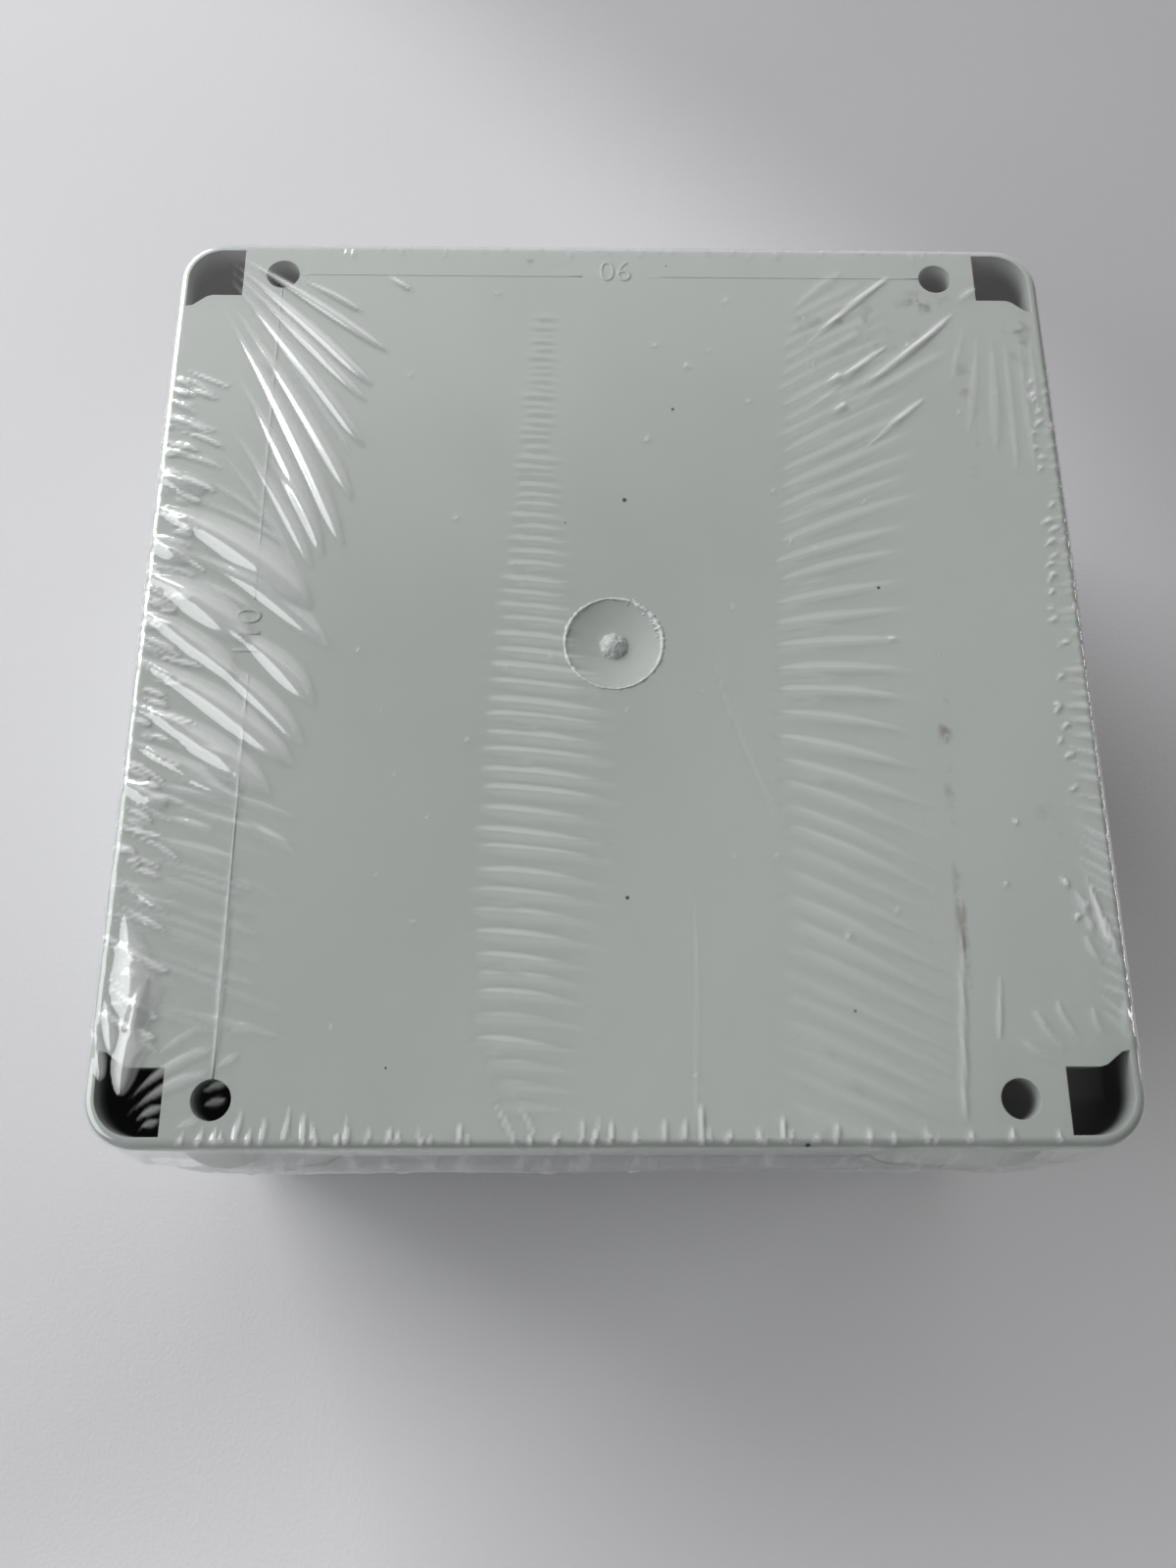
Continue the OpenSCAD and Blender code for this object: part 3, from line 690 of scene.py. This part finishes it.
def roundCorners(x, y, halfX, halfY, r):
    # turns the square corners of a grid into arcs of radius r
    u = np.abs(x) - (halfX - r)
    v = np.abs(y) - (halfY - r)
    corner = (u > 0) & (v > 0)
    u, v = np.maximum(u, 0), np.maximum(v, 0)
    shrink = np.where(corner, np.maximum(u, v) / np.maximum(np.hypot(u, v), 1e-9), 1)
    newX = np.where(corner, np.sign(x) * (halfX - r + u * shrink), x)
    newY = np.where(corner, np.sign(y) * (halfY - r + v * shrink), y)
    return newX, newY


def setVertices(piece, x, y, z, white):
    # x, y, z in mm from the middle of the mounting face
    co = np.stack((x, y, z), axis=1) * mm
    co[:, 2] += faceZ
    piece.data.vertices.foreach_set("co", co.astype(np.float32).ravel())
    crease = piece.data.attributes.new("crease", "FLOAT", "POINT")
    crease.data.foreach_set("value", np.clip(white, 0, 1).astype(np.float32))
    piece.data.update()


def getVertices(piece):
    co = np.empty(len(piece.data.vertices) * 3, np.float32)
    piece.data.vertices.foreach_get("co", co)
    return co.reshape(-1, 3).astype(float)


def allCreases(s):
    dice = random.Random(s["seed"])
    creases = list(pocketFan + edgeStreaks + cornerStreaks + thinStreaks + pocketStreaks + lineStreaks)
    creases += bandCreases(centreBand, dice, fall=0.12)
    creases += bandCreases(rightBand, dice)
    for makeGroup in (leftEdgeCreases, rightEdgeCreases, bottomEdgeCreases, topEdgeCreases, caughtGrains):
        creases += makeGroup(dice)
    return creases


def makeFilmTop(s, creases, halfX, halfY):
    bm = bmesh.new()
    bmesh.ops.create_grid(bm, x_segments=s["across"], y_segments=s["along"], size=1)
    piece = finishMesh(bm, "film_top", materials["clear_wrap"])
    co = getVertices(piece)
    share, place = zip(*s["stops"])
    x = np.interp((co[:, 0] + 1) / 2, share, place) * halfX / place[-1]
    y = co[:, 1] * halfY
    x, y = roundCorners(x, y, halfX, halfY, s["corner"])
    high, white = pressCreases(x, y, creases)
    rim = np.minimum(1, np.minimum(halfX - np.abs(x), halfY - np.abs(y)) / 4)
    high += s["gap"] + s["sag"] * (1 + wave(x, y, 16, 5)) * rim
    setVertices(piece, x, y, high, white)
    return piece


skirtSettings = {
    "columns": 1000,
    "turn": 1.25,         # mm, radius of the film round the edge of the face
    "leanX": 1.25,        # mm that the walls' film runs outward on its way down, at the X walls
    "leanY": 2.3,         # and at the Y walls, where it spans the bulges
    "leanDepth": 8,       # mm down by which the Y walls' film stands clear of the bulges
    "sag": 0.12,          # mm of slow waviness
    "hem": 0.6,           # mm, height of the lower edge over the ground
    "seed": 23,
}


def skirtDepths(s, turnRows=8):
    # distance down the film from the seam, row by row: fine over the edge, wider below
    arc = s["turn"] * math.pi / 2
    rows = [arc * i / turnRows for i in range(turnRows + 1)]
    depth = faceZ / mm - s["turn"] - s["hem"]
    step = 0.4
    while rows[-1] < arc + depth - 0.6:
        rows.append(min(rows[-1] + step, arc + depth))
        step = min(step * 1.06, 1.25)
    rows[-1] = arc + depth
    return rows


def ringPlace(u, halfX, halfY, r):
    # point and outward direction at share u of the way round the seam line, counted from the middle of +X
    flatX, flatY, arc = 2 * (halfX - r), 2 * (halfY - r), r * math.pi / 2
    total = 2 * (flatX + flatY) + 4 * arc
    d = (u * total + flatY / 2) % total
    stops = np.cumsum([flatY, arc, flatX, arc, flatY, arc, flatX, arc])
    part = np.searchsorted(stops, d, side="right")
    part = np.minimum(part, 7)
    along = d - np.concatenate(([0], stops))[part]
    side = part // 2
    isArc = part % 2 == 1
    turn = side * math.pi / 2 + np.where(isArc, along / r, 0)
    nx, ny = np.cos(turn), np.sin(turn)
    centreX = np.where((side == 0) | (side == 3), halfX - r, r - halfX)
    centreY = np.where((side == 0) | (side == 1), halfY - r, r - halfY)
    x = centreX + nx * r
    y = centreY + ny * r
    straight = (  # start and direction of the four straight sides
        (halfX, r - halfY, 0, 1), (halfX - r, halfY, -1, 0),
        (-halfX, halfY - r, 0, -1), (r - halfX, -halfY, 1, 0),
    )
    for k, (sx, sy, gx, gy) in enumerate(straight):
        on = (~isArc) & (side == k)
        x = np.where(on, sx + gx * along, x)
        y = np.where(on, sy + gy * along, y)
    return x, y, nx, ny, u * total


def skirtCreases(s, total, depth):
    # folds in the walls' film, placed by the distance round the box and the distance down from the seam
    dice = random.Random(s["seed"])
    creases = []
    for i in range(190):  # short pleats under the face's edge
        across = total * (i + dice.random()) / 190
        size = dice.uniform(2.5, 11) * (2.2 if dice.random() < 0.12 else 1)
        start = (across, dice.uniform(1, 3))
        end = (across + dice.uniform(-0.3, 0.3) * size, 3 + size)
        bend, wide = dice.uniform(-0.4, 0.4), dice.uniform(0.6, 1.2)
        creases.append((start, end, bend, wide, dice.uniform(0.2, 0.4), dice.uniform(0, 0.3)))
    for i in range(170):  # and above the hem
        across = total * (i + dice.random()) / 170
        size = dice.uniform(3, 14) * (1.8 if dice.random() < 0.15 else 1)
        end = (across + dice.uniform(-0.4, 0.4) * size, depth - size)
        bend, wide = dice.uniform(-0.5, 0.5), dice.uniform(0.7, 1.6)
        creases.append(((across, depth + 1), end, bend, wide, dice.uniform(0.2, 0.4), dice.uniform(0, 0.3)))
    for corner in (0.125, 0.375, 0.625, 0.875):  # fans that pull away from the four corners
        for i in range(16):
            way = dice.choice((-1, 1))
            down = dice.uniform(6, depth - 8)
            size = dice.uniform(10, 30)
            start = (total * corner + way * dice.uniform(2, 7), down)
            end = (start[0] + way * size, down + dice.uniform(-0.5, 0.5) * size)
            bend, wide = dice.uniform(-1.5, 1.5), dice.uniform(0.9, 1.7)
            creases.append((start, end, bend, wide, dice.uniform(0.16, 0.34), dice.uniform(0, 0.25)))
    return creases


def makeFilmSkirt(s, film, creases, halfX, halfY):
    rows = skirtDepths(s)
    bm = bmesh.new()
    bmesh.ops.create_grid(bm, x_segments=s["columns"], y_segments=len(rows) - 1, size=1)
    piece = finishMesh(bm, "film_skirt", materials["clear_wrap"])
    co = getVertices(piece)
    u = (co[:, 0] + 1) / 2
    down = np.interp((1 - co[:, 1]) / 2 * (len(rows) - 1), range(len(rows)), rows)
    x0, y0, nx, ny, across = ringPlace(u, halfX, halfY, film["corner"])
    total = float(across.max())
    arc = s["turn"] * math.pi / 2
    angle = np.minimum(down, arc) / s["turn"]
    below = np.maximum(down - arc, 0)
    full = rows[-1] - arc
    clear = 1 - 0.5 * smooth((np.abs(x0) - 46) / 9)
    leanX = s["leanX"] * below / full
    leanY = s["leanY"] * clear * smooth(below / s["leanDepth"]) + 0.1 * below / full
    out = s["turn"] * np.sin(angle)
    overEdge, edgeWhite = pressCreases(x0 + nx * down, y0 + ny * down, creases)
    fade = np.clip(1 - (down - 4) / 3, 0, 1)
    ends = np.clip(np.minimum(u, 1 - u) * total / 3, 0, 1)
    folds, foldWhite = pressCreases(across, down, skirtCreases(s, total, rows[-1]))
    sag = s["sag"] * (1 + wave(across, down, 26, 8)) * smooth(below / 6)
    flatten = 1 - 0.85 * smooth(down / 0.9)  # keeps the outline nearly straight
    high = overEdge * fade * flatten + ends * (folds * smooth(down / 2) + sag)
    white = np.maximum(edgeWhite * fade, foldWhite * ends)
    out += high * np.sin(angle)
    x = x0 + nx * (out + leanX)
    y = y0 + ny * (out + leanY)
    z = film["gap"] - s["turn"] * (1 - np.cos(angle)) - below + high * np.cos(angle)
    setVertices(piece, x, y, z, white)
    bm = bmesh.new()
    bm.from_mesh(piece.data)
    bmesh.ops.remove_doubles(bm, verts=bm.verts, dist=0.000002)
    bm.to_mesh(piece.data)
    bm.free()
    return piece, total * mm, rows[-1] * mm


seamX, seamY = faceHalfX - filmSettings["inset"], faceHalfY - filmSettings["inset"]
filmCreases = allCreases(filmSettings)
filmTop = makeFilmTop(filmSettings, filmCreases, seamX, seamY)
filmSkirt, skirtRound, skirtDeep = makeFilmSkirt(skirtSettings, filmSettings, filmCreases, seamX, seamY)
for piece, flat in ((filmTop, (2 * seamX * mm, 2 * seamY * mm)), (filmSkirt, (skirtRound, skirtDeep))):
    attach(piece, "wrap")
    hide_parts("shrink_wrap")
print("film", len(filmCreases), "creases")


# ---- what stands on the mounting face: the gate's stub and burr, and the moulded lines and sizes

gateSettings = {
    "dish": 6.1,          # mm, radius of the dish
    "stub": (1.75, 1.3, -1.2),  # mm: half width, half height and depth of the middle of the stub
    "burr": 0.24,         # mm, half thickness of the thin burr round the rim
    "seed": 5,
}


burrPlastic = plasticMaterial("burrPlastic", (0.9, 0.91, 0.9), (0.8, 0.82, 0.8), 0.3, grainHeight=0.3)
stubPlastic = plasticMaterial("stubPlastic", (0.74, 0.76, 0.74), (0.66, 0.69, 0.67), 0.34, grainHeight=0.3)


def makeGateStub(s):
    # broken off by hand, so its top is rough
    half, tall, deep = s["stub"]
    bm = bmesh.new()
    bmesh.ops.create_icosphere(bm, subdivisions=5, radius=1)
    for v in bm.verts:
        rough = noise.fractal(v.co * 2.6, 0.9, 2.0, 4) * 0.1
        chip = noise.noise(v.co * 7) * 0.05
        v.co *= 1 + rough + chip
        v.co = Vector((v.co.x * half, v.co.y * half, deep + v.co.z * tall)) * mm + Vector((0, 0, faceZ))
    return finishMesh(bm, "gate_stub", stubPlastic)


def makeGateBurr(s):
    dice = random.Random(s["seed"])
    bm = bmesh.new()
    ring = bmesh.ops.create_circle(bm, segments=8, radius=s["burr"])["verts"]
    bmesh.ops.rotate(bm, verts=ring, matrix=Matrix.Rotation(math.pi / 2, 3, "X"))
    bmesh.ops.translate(bm, verts=ring, vec=(s["dish"], 0, 0))
    bmesh.ops.spin(bm, geom=list(bm.verts) + list(bm.edges), cent=(0, 0, 0), axis=(0, 0, 1), angle=math.tau,
                   steps=360, use_merge=True)
    for v in bm.verts:
        angle = math.atan2(v.co.y, v.co.x)
        flat = Vector((v.co.x, v.co.y, 0))
        out = flat.normalized()
        spot = Vector((math.cos(angle), math.sin(angle), 0)) * s["dish"]
        coarse = max(0, math.cos(angle - 0.5)) ** 2 + 0.6 * max(0, -math.cos(angle + 0.3)) ** 3
        thick = 0.55 + 0.55 * noise.noise(spot * 1.7) + 0.5 * coarse * abs(noise.noise(spot * 5))
        shift = 0.05 * noise.noise(spot * 1.1) + 0.16 * coarse * noise.noise(spot * 3.1)
        thick = max(thick, 0.25)
        aside = (flat.length - s["dish"]) * thick * (1 + coarse) + shift
        v.co = spot + out * aside + Vector((0, 0, v.co.z * thick))
    crumbs = []  # angle, distance outside the rim, size
    for i in range(34):
        crumbs.append((dice.gauss(0.35, 0.45), dice.uniform(-0.6, 0.15), dice.uniform(0.06, 0.16)))
    crumbs += [(1.12, 0.2, 0.2), (1.16, 0.42, 0.15), (2.85, 0.1, 0.14), (2.1, 0.1, 0.1)]
    for angle, out, size in crumbs:
        crumb = bmesh.ops.create_icosphere(bm, subdivisions=2, radius=size)["verts"]
        spot = Vector((math.cos(angle), math.sin(angle), 0)) * (s["dish"] + out)
        down = -0.16 * max(0, -out) / 0.6
        for v in crumb:
            v.co *= 1 + 0.5 * noise.noise(v.co * 9 + spot)
            v.co = Vector((v.co.x * 1.3, v.co.y, v.co.z * 0.5)) + spot + Vector((0, 0, down))
    bmesh.ops.recalc_face_normals(bm, faces=bm.faces)
    bmesh.ops.transform(bm, verts=bm.verts, matrix=Matrix.Translation((0, 0, faceZ)) @ Matrix.Scale(mm, 4))
    return finishMesh(bm, "gate_burr", burrPlastic)


markSettings = {
    "line": 0.13,         # mm, half width of a moulded line
    "rise": 0.1,          # mm that the marks stand out
    "tall": 3.4,          # mm, height of the figures
    "width": ((0.7, 56.1), math.pi, fixings["spacing_x_mm"]),     # place, turn and value of each size
    "length": ((-45.4, 1.2), math.pi / 2, fixings["spacing_y_mm"]),
}


def addLine(bm, start, end, half, rise):
    # a low rounded rib from start to end
    start, end = Vector((*start, 0)), Vector((*end, 0))
    run = end - start
    ring = bmesh.ops.create_circle(bm, segments=10, radius=1)
    verts = ring["verts"]
    side = Vector((-run.y, run.x, 0)).normalized()
    for v in verts:
        v.co = start + side * v.co.x * half + Vector((0, 0, v.co.y * rise))
    edges = [e for e in bm.edges if e.verts[0] in verts and e.verts[1] in verts]
    steps = max(2, int(run.length / 2))
    for i in range(steps):
        made = bmesh.ops.extrude_edge_only(bm, edges=edges)["geom"]
        fresh = {v for v in made if isinstance(v, bmesh.types.BMVert)}
        edges = [e for e in made if isinstance(e, bmesh.types.BMEdge) and set(e.verts) <= fresh]
        bmesh.ops.translate(bm, verts=list(fresh), vec=run / steps)
    bmesh.ops.holes_fill(bm, edges=[e for e in bm.edges if e.is_boundary], sides=10)


def figureMesh(text, tall, rise):
    # the figures of a size as a solid mesh, middle at the origin, in mm
    data = bpy.data.curves.new("figures", "FONT")
    data.body = text
    data.size = tall / 0.73
    data.align_x = "CENTER"
    data.align_y = "CENTER"
    data.extrude = rise * 0.5
    data.bevel_depth = rise * 0.4
    data.bevel_resolution = 2
    data.offset = -0.06
    maker = bpy.data.objects.new("figures", data)
    bpy.context.scene.collection.objects.link(maker)
    bpy.context.view_layer.update()
    mesh = bpy.data.meshes.new_from_object(maker)
    bpy.data.objects.remove(maker)
    return mesh


def makeMarks(s):
    bm = bmesh.new()
    gap = 4.6
    (wx, wy), _, _ = s["width"]
    (lx, ly), _, _ = s["length"]
    hole = fixings["hole_r_mm"]
    addLine(bm, (-holeX, ly - gap - 1), (-holeX, -holeY + hole), s["line"], s["rise"])
    addLine(bm, (-holeX, holeY - hole), (-holeX, ly + gap), s["line"] * 0.8, s["rise"] * 0.8)
    addLine(bm, (-holeX + hole, holeY), (wx - gap, holeY), s["line"] * 0.7, s["rise"] * 0.6)
    addLine(bm, (wx + gap, holeY), (holeX - hole, holeY), s["line"] * 0.7, s["rise"] * 0.6)
    for (x, y), turn, value in (s["width"], s["length"]):
        mesh = figureMesh(str(int(value)), s["tall"], s["rise"])
        mesh.transform(Matrix.Translation((x, y, 0)) @ Matrix.Rotation(turn, 4, "Z"))
        bm.from_mesh(mesh)
    bmesh.ops.remove_doubles(bm, verts=bm.verts, dist=0.0005)
    bmesh.ops.recalc_face_normals(bm, faces=bm.faces)
    bmesh.ops.transform(bm, verts=bm.verts, matrix=Matrix.Translation((0, 0, faceZ)) @ Matrix.Scale(mm, 4))
    return finishMesh(bm, "moulded_sizes", materials["box_plastic"])


for piece in (makeGateStub(gateSettings), makeGateBurr(gateSettings), makeMarks(markSettings)):
    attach(piece, "box")
print("gate and marks")


def makeFloor():
    bm = bmesh.new()
    bmesh.ops.create_grid(bm, x_segments=1, y_segments=1, size=4)
    floorMaterial, tree, shader = newMaterial("paleCloth")
    place = addNode(tree, "ShaderNodeTexCoord")
    weave = addNode(tree, "ShaderNodeTexNoise", {"Scale": 1500})
    folds = addNode(tree, "ShaderNodeTexNoise", {"Scale": 14})
    for n in (weave, folds):
        tree.links.new(place.outputs["Object"], n.inputs["Vector"])
    colour = addMix(tree, folds.outputs["Fac"], (0.72, 0.71, 0.735), (0.78, 0.775, 0.79))
    # painted light and shade on the cloth: its colour is brighter beyond a line towards the front and darker
    # beyond another towards the back right
    for way, start, full, share in (((0.6, -1, 0), 0.05, 0.1, 1.22), ((0.9, 1, 0), 0.12, 0.2, 0.72)):
        fade = addRamp(tree, addDot(tree, place.outputs["Object"], way), start, full, (1, share))
        scaled = addNode(tree, "ShaderNodeVectorMath", operation="SCALE")
        tree.links.new(colour, scaled.inputs[0])
        tree.links.new(fade, scaled.inputs["Scale"])
        colour = scaled.outputs["Vector"]
    tree.links.new(colour, shader.inputs["Base Color"])
    bump = addNode(tree, "ShaderNodeBump", {"Strength": 0.25, "Distance": 0.0002})
    tree.links.new(weave.outputs["Fac"], bump.inputs["Height"])
    tree.links.new(bump.outputs["Normal"], shader.inputs["Normal"])
    shader.inputs["Roughness"].default_value = 0.85
    floor = finishMesh(bm, "floor", floorMaterial, smooth=False)


makeFloor()
